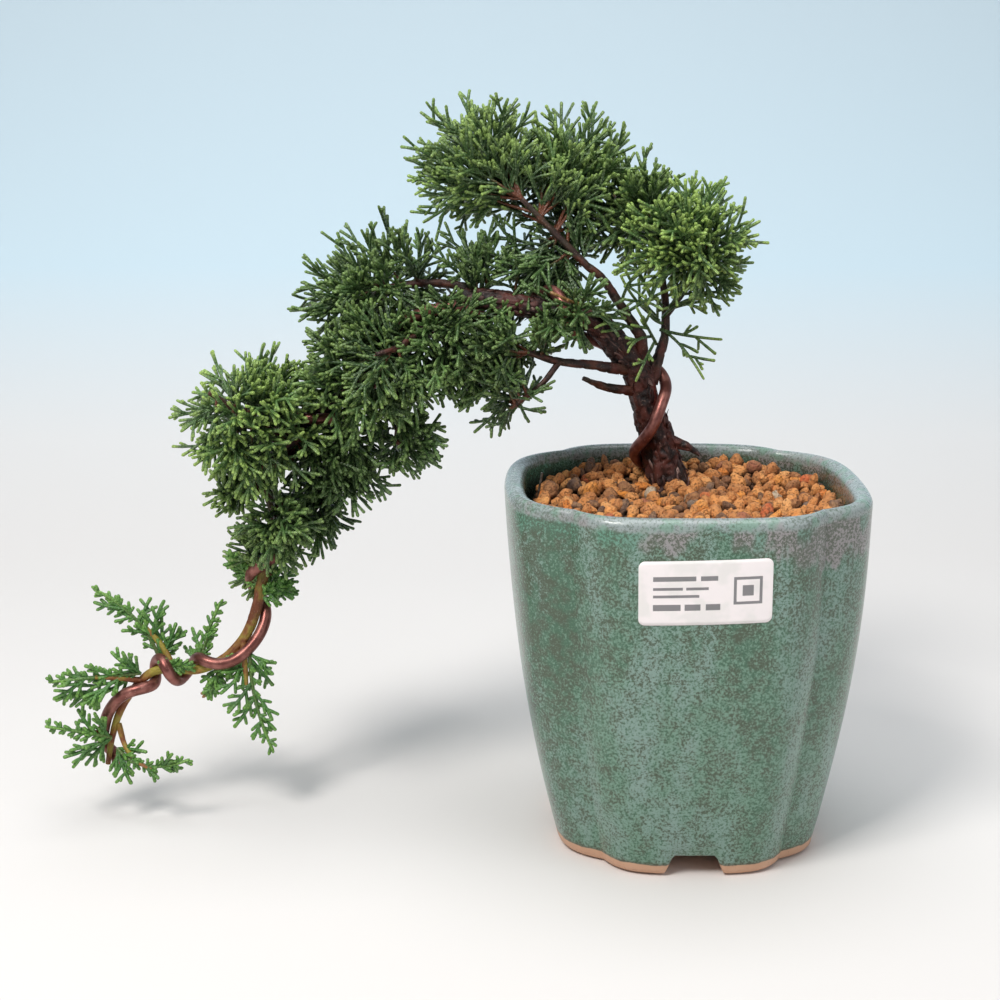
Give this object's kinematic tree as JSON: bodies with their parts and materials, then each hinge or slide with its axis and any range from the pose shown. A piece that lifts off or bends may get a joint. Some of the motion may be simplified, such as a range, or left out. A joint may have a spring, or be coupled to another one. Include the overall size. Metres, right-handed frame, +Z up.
{
  "type": "cascading juniper bonsai in a pot",
  "caption": "Small cascading juniper bonsai, wired to arch over and hang past the rim of a tall lobed glazed pot on four feet, filled with baked clay granules.",
  "frame": {"origin": "middle of the bottom of the whole plant's bounding box, at the height of the surface that the pot stands on", "axes": "+Z up, +X along the plant from the hanging tip towards the pot, -Y towards the labelled front face"},
  "size_m": [0.2792, 0.1258, 0.2478],
  "materials": {
    "glaze": "satin speckled green-blue glaze, bare clay on the feet",
    "granules": "matte porous baked clay granules",
    "bark": "rough flaking bark",
    "branch_bark": "thin rough bark",
    "twig_bark": "smooth young bark",
    "deadwood": "weathered dry wood",
    "foliage": "satin scale leaves on round shoots",
    "young_foliage": "satin young scale leaves",
    "copper_wire": "anodised copper colour, satin",
    "steel_wire": "dull galvanised wire",
    "black_mesh": "matte black plastic",
    "label_paper": "semi-gloss white label paper"
  },
  "bodies": {
    "root": {"branch_behind": "branch_bark", "branch_crown_left": "branch_bark", "branch_crown_right": "branch_bark", "branch_drooping": "branch_bark", "branch_left": "branch_bark", "branch_low_left": "branch_bark", "branch_lower_left": "branch_bark", "branch_middle": "branch_bark", "branch_upper_left": "branch_bark", "dead_stub": "deadwood", "drain_mesh": "black_mesh", "foliage_arch": "foliage", "foliage_behind": "foliage", "foliage_crown_left": "foliage", "foliage_crown_middle": "foliage", "foliage_crown_right": "foliage", "foliage_drooping": "foliage", "foliage_hanging": "foliage", "foliage_left": "foliage", "foliage_lower_left": "foliage", "foliage_middle": "foliage", "foliage_near_stem": "foliage", "foliage_right_drooping": "foliage", "foliage_under": "foliage", "foliage_upper_left": "foliage", "label": "label_paper", "mesh_clip": "steel_wire", "pot": "glaze", "spray_hanging": "young_foliage", "spray_left": "young_foliage", "spray_middle": "young_foliage", "spray_rising": "young_foliage", "spray_tip_left": "young_foliage", "spray_tip_right": "young_foliage", "substrate": "granules", "tie_wire": "steel_wire", "training_wire": "copper_wire", "trunk": "bark", "twig_hanging": "twig_bark", "twig_left": "twig_bark", "twig_rising": "twig_bark", "twig_tip_left": "twig_bark", "twig_tip_right": "twig_bark"}
  },
  "joints": []
}
